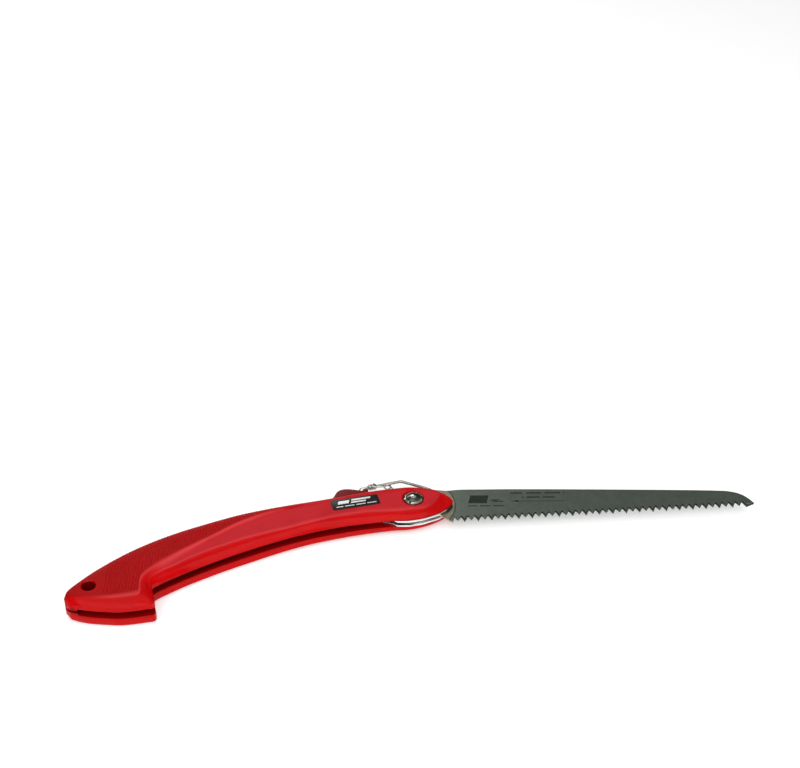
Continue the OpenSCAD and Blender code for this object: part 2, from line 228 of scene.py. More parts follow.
def bladeFinish():  # ground steel with dark etched bars that stand for no words
    r = metal("blade_steel", rgb(0.215, 0.250, 0.210), rgb(0.180, 0.212, 0.178), 0.27,
              (1.6, 0.05, 1.0), 0, 0.10, 0.000015, False)
    x, y, z = r.parts(r.place(False))
    bar = barsOn(x, y)
    marks = bar(32.4, 43.4, 1.2, 8.6, 0.22)
    for one in (bar(39.5, 44.5, 3.6, 4.7, 1.6), bar(44.0, 50.5, 2.4, 3.3, 1.2)):
        marks = marks.highest(one)
    small = bar(32.6, 55.6, -1.7, -0.8) * ((x % 7.9) < 6.4)
    upper = bar(57.4, 90.0, 10.1, 11.2, 0.1) * ((x % 11.3) < 9.2)
    middle = bar(64.5, 84.0, 6.1, 7.2, 0.1) * ((x % 9.7) < 7.9)
    line = bar(58.5, 91.0, 2.75, 3.25) + bar(60.5, 63.0, 2.3, 3.7)
    for one in (small, upper, middle, line):
        marks = marks.highest(one)
    marks = marks * (z > 0.6)
    etched = r.noise(r.place(False), 1.2, 3)
    colour = r.tint(marks * (0.78 + 0.2 * etched), r.fed("Base Color"), rgb(0.018, 0.020, 0.018))
    rough = r.fed("Roughness")
    reach = r.fromAxis(x, y)
    # a tan band round the pivot, then painted shadow: a dark ring where the shell's nose shades the blade
    colour = r.tint(r.rise(reach, 24.3, 24.8, 0.8, 0.0), colour, rgb(0.42, 0.37, 0.26))
    colour = r.tint((reach > 24.6) * (reach < 25.3) * (z > 0.6) * 0.75, colour, rgb(0.05, 0.06, 0.05))
    facetDarkReflection = (y - bladeSizes["tipRise"] * x < -12.0) * (x > 25) * (z < 0.62)  # painted dark reflection on the ground walls of the teeth
    r.feed(Base_Color=r.tint(facetDarkReflection * 0.85, colour, rgb(0.012, 0.013, 0.012)), Roughness=rough + 0.25 * marks)
    return r.material


def labelFinish():  # black foil with pale bars that stand for no words
    r = Recipe("black_label", IOR=1.5, Specular_IOR_Level=0.2)
    point = r.place()
    turned = r.add("ShaderNodeMapping", {}, {0: point, "Location": (34.37, -4.06, 0),
                                               "Rotation": (0, 0, math.radians(5.6))})
    x, y, z = r.parts(turned)
    bar = barsOn(x, y)
    marks = bar(-10.6, -4.0, 0.0, 2.7, 0.35)
    for one in (bar(-2.6, 8.8, 1.7, 3.2, 0.35), bar(-2.6, 6.4, -0.4, 0.9, 0.35),
                bar(-12.0, 12.2, -2.7, -2.0) * ((x % 6.7) < 5.6)):
        marks = marks.highest(one)
    dust = r.noise(point, 1.4, 4)
    wear = r.rise(r.noise(point, 0.5, 4), 0.52, 0.75)
    colour = r.tint(marks * (1 - 0.15 * dust), rgb(0.008, 0.009, 0.010), rgb(0.78, 0.80, 0.78))
    r.feed(Base_Color=r.tint(wear * 0.10, colour, rgb(0.09, 0.09, 0.09)), Roughness=0.26 + 0.18 * wear,
           Metallic=0.2 * marks, Normal=r.bump(dust + 2.0 * marks, 0.00002, 0.3))
    return r.material


def padFinish():  # dark red thumb pad, rubbed paler on its crown
    r = Recipe("maroon_pad", IOR=1.5, Coat_Roughness=0.2, Specular_IOR_Level=0.08)
    point = r.place()
    x, y, z = r.parts(point)
    clouds = r.noise(point, 0.35, 4)
    grain = r.noise(point, 3.5, 2)
    crown = r.rise(y + 0.4 * clouds, 22.5, 26.5)
    colour = r.tint(r.rise(clouds, 0.35, 0.7), rgb(0.13, 0.006, 0.006), rgb(0.17, 0.009, 0.009))
    r.feed(Base_Color=r.tint(crown * 0.35, colour, rgb(0.20, 0.014, 0.016)), Coat_Weight=0.06,
           Roughness=0.34 - 0.10 * crown + 0.08 * clouds, Normal=r.bump(grain, 0.00008, 0.3))
    return r.material


def floorFinish():
    r = Recipe("pale_floor", Roughness=0.75, Emission_Color=rgb(1, 1, 1), Emission_Strength=0.3)
    point = r.add("ShaderNodeTexCoord", output=3)
    haze = r.noise(point, 3.0, 3)
    r.feed(Base_Color=r.tint(haze, rgb(0.86, 0.86, 0.86), rgb(0.88, 0.88, 0.875)))
    return r.material


def painted(r, mask, colour):  # the same metal, in another colour where the mask is 1
    r.feed(Base_Color=r.tint(mask, r.fed("Base Color"), colour))
    return r.material


def linerFinish():  # polished steel that lies in the shells' shade at the nose
    r = metal("liner_steel", rgb(0.80, 0.80, 0.79), rgb(0.66, 0.66, 0.66), 0.14)
    x, y, z = r.parts(r.place())
    return painted(r, r.rise(x, 15.0, 17.0, 0.0, 0.9), rgb(0.03, 0.03, 0.03))


def boltFinish():  # chrome, with a painted dark reflection in a ring and a painted highlight on its crown
    r = metal("bolt_chrome", rgb(0.38, 0.40, 0.33), rgb(0.26, 0.28, 0.23), 0.08, (3, 3, 3))
    x, y, z = r.parts(r.place())
    reach = r.fromAxis(x, y)
    # painted dark reflection in a ring across the dome
    ring = r.rise(reach, 1.3, 2.2, 0.0, 1.0) * r.rise(reach, 4.2, 4.8, 0.85, 0.0)
    painted(r, ring, rgb(0.035, 0.042, 0.028))
    # painted highlight on the crown
    return painted(r, r.rise(reach, 1.0, 1.7, 1.0, 0.0), rgb(0.95, 0.95, 0.92))


plainMetals = {  # light and dark colour, gloss, grain
    "pin_steel": (rgb(0.50, 0.49, 0.44), rgb(0.38, 0.37, 0.33), 0.24, (2.5, 2.5, 0.3)),
    "screw_steel": (rgb(0.16, 0.16, 0.17), rgb(0.09, 0.09, 0.10), 0.30, (2, 2, 2)),
    "brass": (rgb(0.70, 0.50, 0.19), rgb(0.55, 0.37, 0.13), 0.24, (2, 2, 0.4)),
    "spring_steel": (rgb(0.55, 0.54, 0.49), rgb(0.42, 0.41, 0.37), 0.18, (1.4, 1.4, 1.4)),
    "wire_steel": (rgb(0.30, 0.30, 0.25), rgb(0.20, 0.20, 0.17), 0.12, (0.3, 1.5, 1.5)),
}
bladeSizes = {
    "half": 0.7, "reach": 203.0, "firstTooth": 24.0, "pitch": 4.0, "depth": 3.7, "teeth": 44,
    "tipRise": 0.0709, "tipStart": (30.7, -14.4), "grindUp": 1.5, "grindRoot": 0.7, "bend": 1.4,
    "edge": 0.22, "ease": 0.25, "bore": 5.0, "boreFlare": 0.25,
}
finishes = {name: metal(name, *look).material for name, look in plainMetals.items()}
finishes.update(red_shell=mouldedRed(), liner_steel=linerFinish(), black_label=labelFinish(),
                bolt_chrome=boltFinish(), blade_steel=bladeFinish(), maroon_pad=padFinish())
print("finishes made:", len(finishes))


def link(name, mesh):
    obj = bpy.data.objects.new(name, mesh)
    bpy.context.scene.collection.objects.link(obj)
    return obj


def build(name, points, faces):
    mesh = bpy.data.meshes.new(name)
    mesh.from_pydata([tuple(p) for p in points], [], faces)
    mesh.validate()
    return link(name, mesh)


def outward(obj):
    work = bmesh.new()
    work.from_mesh(obj.data)
    bmesh.ops.recalc_face_normals(work, faces=work.faces)
    work.to_mesh(obj.data)
    work.free()


def applied(obj):  # the mesh that the modifiers give, kept plain
    bpy.context.view_layer.update()
    shape = bpy.data.meshes.new_from_object(obj.evaluated_get(bpy.context.evaluated_depsgraph_get()))
    obj.modifiers.clear()
    old, obj.data = obj.data, shape
    bpy.data.meshes.remove(old)
    return obj


def finished(obj, finish, body, nodes, place, sharp):  # smooth, painted and on its body
    if place is not None:
        obj.data.transform(place)
    obj.data.materials.clear()
    obj.data.materials.append(finishes[finish])
    obj.data.polygons.foreach_set("material_index", [0] * len(obj.data.polygons))
    obj.data.polygons.foreach_set("use_smooth", [True] * len(obj.data.polygons))
    obj.data.set_sharp_from_angle(angle=math.radians(sharp))
    obj.data.update()
    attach(obj, body)
    if nodes:
        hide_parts(*nodes)


def prism(outline, low, high):
    n = len(outline)
    points = [(x, y, low) for x, y in outline] + [(x, y, high) for x, y in outline]
    faces = [list(range(n))[::-1], list(range(n, 2 * n))]
    faces += [[i, (i + 1) % n, n + (i + 1) % n, n + i] for i in range(n)]
    return points, faces


def ringed(rings):  # closed skin over rings with the same number of points
    n = len(rings[0])
    points = [p for ring in rings for p in ring]
    faces = [[r * n + i, r * n + (i + 1) % n, (r + 1) * n + (i + 1) % n, (r + 1) * n + i]
             for r in range(len(rings) - 1) for i in range(n)]
    last = (len(rings) - 1) * n
    return points, faces + [list(range(n))[::-1], list(range(last, last + n))]


def circle(x, y, r, sides):
    angles = [2 * math.pi * k / sides for k in range(sides)]
    return [(x + r * math.cos(a), y + r * math.sin(a)) for a in angles]


def lathe(profile, centre, sides):  # profile of radius and height, from low to high
    return ringed([[(x, y, z) for x, y in circle(centre[0], centre[1], r, sides)] for r, z in profile])


def disc(x, y, r, low, high, sides=40):
    return prism(circle(x, y, r, sides), low, high)


def cut(obj, shapes):
    tools = []
    for shape in shapes:
        tool = build("cutter", *shape)
        outward(tool)
        tools.append(tool)
        change = obj.modifiers.new("cut", "BOOLEAN")
        change.operation, change.solver, change.object = "DIFFERENCE", "EXACT", tool
    applied(obj)
    for tool in tools:
        bpy.data.objects.remove(tool)


def bevelledCopy(name, node, width):  # a copy of a CAD solid with its edges eased
    obj = link(name, frame["nodes"][node].data.copy())
    work = bmesh.new()
    work.from_mesh(obj.data)
    bmesh.ops.remove_doubles(work, verts=work.verts, dist=2e-6)
    bmesh.ops.dissolve_limit(work, angle_limit=math.radians(1.0), verts=work.verts, edges=work.edges)
    work.to_mesh(obj.data)
    work.free()
    change = obj.modifiers.new("ease", "BEVEL")
    change.width, change.segments = width * mm, 2
    change.limit_method, change.angle_limit = "ANGLE", math.radians(30)
    return applied(obj)


def smoothLine(points, steps, closed=False):  # a curve through the points
    n = len(points)
    result = []
    for i in range(n if closed else n - 1):
        around = range(i - 1, i + 3)
        a, b, c, d = [Vector(points[k % n if closed else min(max(k, 0), n - 1)]) for k in around]
        for k in range(steps):
            t = k / steps
            result.append(0.5 * (2 * b + (c - a) * t + (2 * a - 5 * b + 4 * c - d) * t ** 2
                                 + (3 * b - a - 3 * c + d) * t ** 3))
    return result if closed else result + [Vector(points[-1])]


def rounded(points, reach, steps=8):  # corners rounded off, as a wire bender leaves them
    points = [Vector(p) for p in points]
    result = [points[0]]
    for before, here, after in zip(points, points[1:], points[2:]):
        a = here + reach * (before - here).normalized()
        c = here + reach * (after - here).normalized()
        for k in range(steps + 1):
            t = k / steps
            result.append((1 - t) ** 2 * a + 2 * t * (1 - t) * here + t ** 2 * c)
    return result + [points[-1]]


def tube(path, radius, sides):  # round wire with domed ends
    path = [Vector(p) for p in path]
    domes = [math.radians(k) for k in (12, 32, 52, 72, 90)]
    first, final = (path[1] - path[0]).normalized(), (path[-2] - path[-1]).normalized()
    stations = [(path[0] + first * radius * (1 - math.cos(a)), radius * math.sin(a)) for a in domes]
    stations += [(p, radius) for p in path[1:-1]]
    stations += [(path[-1] + final * radius * (1 - math.cos(a)), radius * math.sin(a)) for a in domes[::-1]]
    side = None
    rings = []
    for i, (p, r) in enumerate(stations):
        run = (stations[min(i + 1, len(stations) - 1)][0] - stations[max(i - 1, 0)][0]).normalized()
        if side is None:
            side = run.cross(Vector((0, 0, 1)) if abs(run.z) < 0.9 else Vector((1, 0, 0))).normalized()
        side = (side - run * side.dot(run)).normalized()
        up = side.cross(run)
        rings.append([p + r * (c * side + s * up) for c, s in circle(0, 0, 1, sides)])
    return ringed(rings)


def inset(outline, distance):  # outline drawn in along its own normals, run anticlockwise
    n = len(outline)
    result = []
    for i in range(n):
        run = Vector(outline[(i + 1) % n]) - Vector(outline[i - 1])
        run.normalize()
        result.append((outline[i][0] - run.y * distance, outline[i][1] + run.x * distance))
    return result


def pillow(outline, low, high, edge, steps):  # plate whose rims are rounded by edge
    rings = []
    for k in range(steps + 1):
        a = math.pi / 2 * k / steps
        drawnIn = inset(outline, edge * (1 - math.cos(a)))
        rings.append([(x, y, low + edge * (1 - math.sin(a))) for x, y in drawnIn])
    upper = [[(x, y, low + high - z) for x, y, z in ring] for ring in rings]
    return ringed(rings[::-1] + upper)


shellSizes = {
    "stationStep": 1.0, "roundRows": 7, "faceRows": 9, "bandRows": 6, "wedgeRows": 6, "flankRows": 11,
    "wedgeDepth": 1.15, "slotHalf": 2.2, "noseHalf": 2.0, "hangRadius": 3.8, "holeFlare": 0.6,
    "partingGroove": 0.14, "leftFlank": 1.8,
}
gripSizes = {
    "pitch": 1.75, "height": 0.24, "width": 0.42, "slant": 70.0, "count": 66, "length": 44.0, "step": 0.8,
    "spare": 14, "start": (-196.0, -30.0, 40.0),
}

backLine = [(-208.8, -12), (-206, -8.2), (-199.8, -4.1), (-189.2, 2.2), (-174.6, 9), (-161, 13.9),
            (-146.5, 17.3), (-131, 19.5), (-101, 21.5), (-72, 20.7), (-46, 18.2), (-23, 16.4),
            (-5, 13.6), (3, 11.6), (10, 8), (14.6, 5), (18.4, 0.6), (21, -4), (22, -6.6)]
bellyLine = [(-161.9, -19), (-159.6, -17.5), (-153, -15.6), (-140.5, -12.4), (-122, -9), (-104, -6.6),
             (-85, -4.9), (-71, -4.5), (-58, -4.9), (-42, -6.6), (-27, -9.2), (-15.5, -11.8),
             (-8, -14.1), (0, -15), (10, -14.2), (17, -11.8), (20.5, -9.6), (22, -8)]
hookLine = [(-208.8, -14.6), (-207, -17.6), (-205.5, -18.6), (-198, -23.3), (-189.6, -27.5),
            (-182.4, -30.6), (-175.3, -32.3), (-168, -33.5), (-164.6, -33.9), (-163.2, -32.4)]
throatX = -162.5
halfThickLine = [(-208.8, 5.5), (-207, 7.3), (-203, 8.3), (-199, 8.5), (-100, 8.5), (0, 6), (14, 5.6),
                 (20, 4.8), (22, 3.8)]
backRoundLine = [(-208.8, 1), (-203, 3), (-160, 4.5), (-60, 4.5), (-20, 3), (18, 2.2), (22, 0.5)]
lipLine = [(-208.8, 3), (-203, 5), (-163, 5.4), (-155, 4), (-140, 2.8), (0, 2.8), (22, 2.6)]
gripEdge = [(-208.8, -13.3), (-206, -14.4), (-200, -17), (-192, -20.6), (-182.8, -23.7),
            (-173.7, -25.3), (-170.2, -25.2), (-168.9, -22.6), (-168.4, -19.4), (-166.9, -14.8),
            (-162.2, -9.9), (-153.4, -4.6), (-138.6, 1.2), (-120.3, 7.2), (-103.6, 12.8), (-86.8, 16.2),
            (-72, 17.6), (-40, 18), (22, 18)]
wedgeTop = [(-208.8, -18), (-162, -14), (-153, -10.8), (-140.7, -3.5), (-122.9, 4.2), (-104.7, 10.3),
            (-86.4, 14.3), (-71.6, 15.9), (-40, 16.5), (22, 16.5)]
flankTop = [(-208.8, -19), (-162, -14.2), (-153, -10.9), (-136.9, -5.7), (-122.4, -2.9), (-104.1, -0.9),
            (-85.7, -0.3), (-48.8, -0.6), (-30.3, -2.7), (-11.9, -7.9), (2.8, -10.6), (8, -9),
            (12.8, -5.6), (16.5, -0.8), (19, 3), (22, 6)]
screwPlaces = [(-70, 13.5), (-118, 9.5), (-172, -1)]
leverPlace = (-35, 14.2)


def hermite(x, line):  # the same smooth curve that the solids use
    i = 0
    while i < len(line) - 2 and x >= line[i + 1][0]:
        i += 1

    def slope(k):
        a, b = max(k - 1, 0), min(k + 1, len(line) - 1)
        return (line[b][1] - line[a][1]) / (line[b][0] - line[a][0])
    h = line[i + 1][0] - line[i][0]
    t = (x - line[i][0]) / h
    return (line[i][1] * (2 * t ** 3 - 3 * t ** 2 + 1) + line[i + 1][1] * (3 * t ** 2 - 2 * t ** 3)
            + slope(i) * h * (t ** 3 - 2 * t ** 2 + t) + slope(i + 1) * h * (t ** 3 - t ** 2))


def straight(x, line):
    return float(np.interp(x, [p[0] for p in line], [p[1] for p in line]))


def softStep(low, high, x):
    t = min(max((x - low) / (high - low), 0.0), 1.0)
    return t * t * (3 - 2 * t)


def bellyY(x):
    return hermite(x, hookLine) if x < throatX else hermite(x, bellyLine)


def reachTo(path, x, y):  # distance from a point to a line of points
    a, b = path[:-1], path[1:]
    run = b - a
    t = np.clip(((x - a[:, 0]) * run[:, 0] + (y - a[:, 1]) * run[:, 1]) / (run ** 2).sum(axis=1), 0, 1)
    return float(np.sqrt(((a + run * t[:, None] - [x, y]) ** 2).sum(axis=1)).min())


outlinePath = np.array([(x, bellyY(x)) for x in np.arange(-130, -161.9, -1.2)] + [(-161.9, -19.0)]
                       + [(-161.9 - 1.3 * k / 12, -19 - 13.4 * k / 12) for k in range(1, 13)]
                       + [(x, bellyY(x)) for x in np.arange(-164.2, -208.8, -1.2)] + [(-208.8, -14.6)])
creasePath = np.array([tuple(p) for p in smoothLine([p for p in gripEdge if p[0] < -125], 8)])


def bulge(t):  # rise of the flank from the lip to its crease
    t = min(max(t, 0.0), 1.0)
    return 0.30 * t + 0.70 * (1 - (1 - t) ** 2.6)


def shellStation(x, sizes, left):  # points of one cross-section, from the back round to the belly
    top, low = hermite(x, backLine), bellyY(x)
    thick, radius = straight(x, halfThickLine), straight(x, backRoundLine)
    lip = thick - 1.5 if left else min(straight(x, lipLine), thick - 0.6)
    sink = sizes["wedgeDepth"] * softStep(-160, -146, x) * (1 - softStep(-84, -54, x))
    near = softStep(-164, -149, x)
    edge = min(hermite(x, gripEdge), top - radius - 0.1)
    wedge, flank = straight(x, wedgeTop), straight(x, flankTop)
    wedge = near * wedge + (1 - near) * (low + 0.62 * (edge - low))
    flank = near * flank + (1 - near) * (low + 0.45 * (edge - low))
    if left:
        flank = low + min(sizes["leftFlank"], 0.4 * (edge - low))
    wedge = min(wedge, edge - 0.1)
    flank = max(min(flank, wedge - 0.1), low + 0.3)

    def height(y):
        far = thick
        if y < edge and near < 1:
            out, crease = reachTo(outlinePath, x, y), reachTo(creasePath, x, y)
            share = out / sizes["leftFlank"] if left else out / (out + crease + 1e-6)
            far = lip + (thick - lip) * bulge(share)
        close = thick
        if y < edge:
            close = thick - sink * softStep(0, 1, (edge - y) / (edge - wedge))
        if y < flank:
            close = lip + (thick - sink - lip) * bulge((y - low) / (flank - low))
        return near * close + (1 - near) * far

    groove = sizes["partingGroove"]
    ring = [(top - groove, 0.0), (top, 0.18)]
    for k in range(sizes["roundRows"] + 1):
        a = math.pi / 2 * k / sizes["roundRows"]
        ring.append((top - radius * (1 - math.cos(a)), thick - radius * (1 - math.sin(a))))
    knots = [(top - radius, edge, sizes["faceRows"]), (edge, wedge, sizes["bandRows"]),
             (wedge, flank, sizes["wedgeRows"]), (flank, low, sizes["flankRows"])]
    for start, end, rows in knots:
        for k in range(1, rows + 1):
            t = k / rows
            if end == low:
                t = 1 - (1 - t) ** 1.5
            y = start + (end - start) * t
            ring.append((y, height(y)))
    ring += [(low, max(lip * 0.5, 1.0)), (low, 0.55), (low + 0.45, 0.0)]
    grip = [float(x < -76 and edge + 0.5 < y < top - 1.3 and z > thick * 0.6 and x - 0.364 * y > -183)
            for y, z in ring]
    band = 0.35 * (edge - wedge)

    def edgeHighlightAt(y):  # how much painted highlight shows along the raised edges, the wedge band and the flank crease
        share = (1 - near) * math.exp(-((y - edge + 0.3) / 0.9) ** 2) * softStep(-200, -180, x)
        if y > wedge:
            share += near * math.exp(-((y - edge + band) / (band + 0.1)) ** 2) * (1 - softStep(-100, -70, x))
        if not left:
            share += near * 0.8 * math.exp(-((y - flank) / 0.5) ** 2) * (1 - softStep(0, 11, x))
        return share

    edgeHighlight = [edgeHighlightAt(y) for y, z in ring]
    face = [softStep(edge - 0.9, edge + 0.2, y) * (1 - softStep(-96, -60, x)) for y, z in ring]
    onBack = softStep(-84, -60, x)
    panel = [near * softStep(edge + 0.4, edge - 0.8, y) * softStep(flank - 1.2, flank + 0.2, y)
             if y < edge + 0.4 else onBack for y, z in ring]
    return [(x, y, z) for y, z in ring], grip, panel, face, edgeHighlight


def loft(name, sizes, holes, left):
    close = [-208.8, -208.4, -207.9, -207.4, -206.8, -206.2, -205.5, -204.8, -204, -164.4, -164, -163.6,
             -163.2, -161.9, -161.5, 19.8, 20.2, 20.6, 21, 21.4, 21.7, 22]  # where the outline turns fast
    even = [x for x in np.arange(-203, 19.6, sizes["stationStep"]) if not -164.6 < x < -161.4]
    xs = sorted(set(close + even))
    rings, grip, panel, face, edgeHighlight = [], [], [], [], []
    for x in xs:
        ring, ringGrip, ringPanel, ringFace, ringHighlight = shellStation(x, sizes, left)
        rings.append(ring)
        grip += [g if all((x - h[0]) ** 2 + (p[1] - h[1]) ** 2 > h[2] ** 2 for h in holes) else 0.0
                 for g, p in zip(ringGrip, ring)]
        panel += ringPanel
        face += ringFace
        edgeHighlight += ringHighlight
    obj = build(name, *ringed(rings))
    for label, values in (("gripArea", grip), ("panel", panel), ("face", face), ("edgeHighlight", edgeHighlight)):
        layer = obj.data.attributes.new(label, "FLOAT", "POINT")
        layer.data.foreach_set("value", values)
    outward(obj)
    return obj


def shellCuts(sizes, left):
    slot, nose = sizes["slotHalf"], sizes["noseHalf"]
    hang, flare = sizes["hangRadius"], sizes["holeFlare"]
    tail = [(204.3 * math.cos(math.radians(a)), 204.3 * math.sin(math.radians(a)))
            for a in (184.9, 186.1, 187.3, 188.5, 189.7, 190.9, 192)]
    roof = [(-40, 11.9), (-52, 10.2), (-100, 1.7), (-150, -6.8), (-190, -14.1), (-201, -15.6)]
    shapes = [prism(roof + tail + [(-196, -60), (-40, -60)], -3, slot),
              prism([(-51, 40), (-51, 10), (-40, 8), (-40, -60), (40, -60), (40, 40)], -3.1, nose),
              prism([(-50.5, 40), (-50.5, 9.6), (-26, 9.6), (-26, 40)], -3.2, 4.0),
              lathe([(hang, -1.3), (hang, 8.5 - flare), (hang + flare, 8.5), (hang + flare, 12)],
                    hangPlace, 48),
              disc(0, 0, 3.5, -1.4, 20), lathe([(6.3, 4.8), (6.3, 5.7), (6.9, 6.05), (6.9, 12)], (0, 0), 64),
              disc(leverPlace[0], leverPlace[1], 1.4, -1.5, 5.4)]
    inner = [(x, bellyY(x) + 1.7) for x in (-201.5, -203, -204.5, -206)] + [(-207.3, -14.6), (-207.7, -12.2)]
    shapes.append(prism(inner + [(-215, -11), (-215, -40), (-201.5, -40)], -2.9, 0.9))
    for x, y in screwPlaces:
        if left:
            thick = straight(x, halfThickLine)
            well = [(1.6, -1), (1.6, 5.2), (3, 5.2), (3, thick - 0.3), (3.3, thick), (3.3, 20)]
            shapes.append(lathe(well, (x, y), 40))
        else:
            shapes.append(disc(x, y, 2.3, -1.0, 6.0))
    if not left:  # hole for the spring's foot
        rod = [(p[0], p[2] + 11, p[1] + 3.2) for p in disc(-7.3, 0, 0.5, 0, 8, 20)[0]]
        shapes.append((rod, disc(0, 0, 1, 0, 1, 20)[1]))
    return shapes


def gripTree():  # ridges laid on the shell, row by row, wherever its grip area is
    tree = bpy.data.node_groups.new("gripRidges", "GeometryNodeTree")
    kinds = {"Shell": "Object", "Count": "Int", "Pitch": "Float", "Slant": "Vector", "Steps": "Int",
             "Start": "Vector", "Radius": "Float", "Height": "Float", "Finish": "Material"}
    inputs = {}
    for name, kind in kinds.items():
        socket = tree.interface.new_socket(name=name, in_out="INPUT", socket_type="NodeSocket" + kind)
        inputs[name] = socket.identifier
    tree.interface.new_socket(name="Geometry", in_out="OUTPUT", socket_type="NodeSocketGeometry")
    order = list(inputs)

    def node(kind, values=None, **settings):
        made = tree.nodes.new(kind)
        for key, value in settings.items():
            setattr(made, key, value)
        for key, value in (values or {}).items():
            socket = made.inputs[key]
            if isinstance(value, bpy.types.NodeSocket):
                tree.links.new(value, socket)
            else:
                socket.default_value = value
        return made

    given = node("NodeGroupInput")

    def get(name):
        return given.outputs[order.index(name)]

    across = node("ShaderNodeCombineXYZ", {"X": get("Pitch")})
    rows = node("GeometryNodeMeshLine", {"Count": get("Count"), "Start Location": get("Start"),
                                          "Offset": across.outputs[0]}, mode="OFFSET")
    one = node("GeometryNodeMeshLine", {"Count": get("Steps"), "Start Location": (0.0, 0.0, 0.0),
                                         "Offset": get("Slant")}, mode="OFFSET")
    laid = node("GeometryNodeInstanceOnPoints", {"Points": rows.outputs[0], "Instance": one.outputs[0]})
    lines = node("GeometryNodeRealizeInstances", {0: laid.outputs[0]})
    shell = node("GeometryNodeObjectInfo", {"Object": get("Shell")}, transform_space="ORIGINAL")
    mask = node("GeometryNodeInputNamedAttribute", {"Name": "gripArea"}, data_type="FLOAT")
    ray = node("GeometryNodeRaycast", {"Target Geometry": shell.outputs["Geometry"], "Ray Length": 80.0,
                                        "Ray Direction": (0.0, 0.0, -1.0)}, data_type="FLOAT")
    source = [s for s in ray.inputs if s.name == "Attribute" and s.enabled][0]
    found = [s for s in ray.outputs if s.name == "Attribute" and s.enabled][0]
    tree.links.new([s for s in mask.outputs if s.enabled][0], source)
    low = node("FunctionNodeCompare", {0: found, 1: 0.5}, data_type="FLOAT", operation="LESS_THAN")
    missed = node("FunctionNodeBooleanMath", {0: ray.outputs["Is Hit"]}, operation="NOT")
    away = node("FunctionNodeBooleanMath", {0: low.outputs[0], 1: missed.outputs[0]}, operation="OR")
    sunk = node("ShaderNodeMath", {0: get("Height"), 1: get("Radius")}, operation="SUBTRACT")
    lift = node("ShaderNodeVectorMath", {0: ray.outputs["Hit Normal"]}, operation="SCALE")
    tree.links.new(sunk.outputs[0], lift.inputs["Scale"])
    where = node("ShaderNodeVectorMath", {0: ray.outputs["Hit Position"], 1: lift.outputs[0]},
                 operation="ADD")
    keep = node("GeometryNodeStoreNamedAttribute", {"Name": "where"}, data_type="FLOAT_VECTOR",
                domain="POINT")
    tree.links.new(lines.outputs[0], keep.inputs["Geometry"])
    tree.links.new(where.outputs[0], [s for s in keep.inputs if s.name == "Value" and s.enabled][0])
    kept = node("GeometryNodeDeleteGeometry", {"Geometry": keep.outputs[0], "Selection": away.outputs[0]},
                domain="POINT")
    spot = node("GeometryNodeInputNamedAttribute", {"Name": "where"}, data_type="FLOAT_VECTOR")
    moved = node("GeometryNodeSetPosition", {"Geometry": kept.outputs[0]})
    tree.links.new([s for s in spot.outputs if s.enabled][0], moved.inputs["Position"])
    curves = node("GeometryNodeMeshToCurve", {"Mesh": moved.outputs[0]})
    rim = node("GeometryNodeCurvePrimitiveCircle", {"Resolution": 6, "Radius": get("Radius")})
    skin = node("GeometryNodeCurveToMesh", {"Curve": curves.outputs[0], "Profile Curve": rim.outputs["Curve"],
                                             "Fill Caps": True})
    real = node("GeometryNodeRealizeInstances", {0: skin.outputs[0]})
    painted = node("GeometryNodeSetMaterial", {"Geometry": real.outputs[0], "Material": get("Finish")})
    out = node("NodeGroupOutput")
    tree.links.new(painted.outputs[0], out.inputs[0])
    return tree, inputs


ridgeTree, ridgeInputs = gripTree()


def gripRidges(name, shell, sizes):
    obj = link(name, bpy.data.meshes.new(name))
    change = obj.modifiers.new("ridges", "NODES")
    change.node_group = ridgeTree
    slant = math.radians(sizes["slant"])
    radius = (sizes["width"] ** 2 / 4 + sizes["height"] ** 2) / (2 * sizes["height"])
    radius = max(radius, sizes["height"])
    for key, value in {"Shell": shell, "Count": sizes["count"], "Pitch": sizes["pitch"],
                       "Slant": (math.cos(slant) * sizes["step"], math.sin(slant) * sizes["step"], 0.0),
                       "Steps": int(sizes["length"] / sizes["step"]) + sizes["spare"],
                       "Start": sizes["start"], "Radius": radius, "Height": sizes["height"],
                       "Finish": finishes["red_shell"]}.items():
        change[ridgeInputs[key]] = value
    return applied(obj)


def mirrored(obj):  # the same mesh for the other side, faces still outward
    obj.data.transform(Matrix.Scale(-1, 4, Vector((0, 0, 1))))
    obj.data.flip_normals()


def slotShadeShare(x, y, z):  # painted shade: 1 on the walls within the slot, 0 where daylight reaches
    if abs(z) > 2.25 or x < -207:
        return 0.0
    return softStep(-0.7, 0.5, y - bellyY(min(x, 22))) * softStep(0.2, 1.0, hermite(min(x, 22), backLine) - y)


def handleShell(side, left):
    holes = [(hangPlace[0], hangPlace[1], 5.2)] + ([(x, y, 4.2) for x, y in screwPlaces] if left else [])
    shell = loft(side + "_moulded_shell", shellSizes, holes, left)
    ridges = gripRidges(side + "_grip_ridges", shell, gripSizes)
    cut(shell, shellCuts(shellSizes, left))
    # the painted shade of the slot walls, kept on each point
    shade = shell.data.attributes.new("recessShade", "FLOAT", "POINT")
    shade.data.foreach_set("value", [slotShadeShare(*v.co) for v in shell.data.vertices])
    if left:
        mirrored(shell)
        mirrored(ridges)
    finished(shell, "red_shell", "handle", (side + "_shell",), toHandle, 32)
    layer = ridges.data.attributes.new("face", "FLOAT", "POINT")
    layer.data.foreach_set("value", [0.85 - softStep(-96, -60, v.co.x) * 0.85 for v in ridges.data.vertices])
    finished(ridges, "red_shell", "handle", (), toHandle, 60)
    print(side, "shell:", len(shell.data.polygons), "faces,", len(ridges.data.polygons), "on its ridges")


handleShell("right", False)
handleShell("left", True)


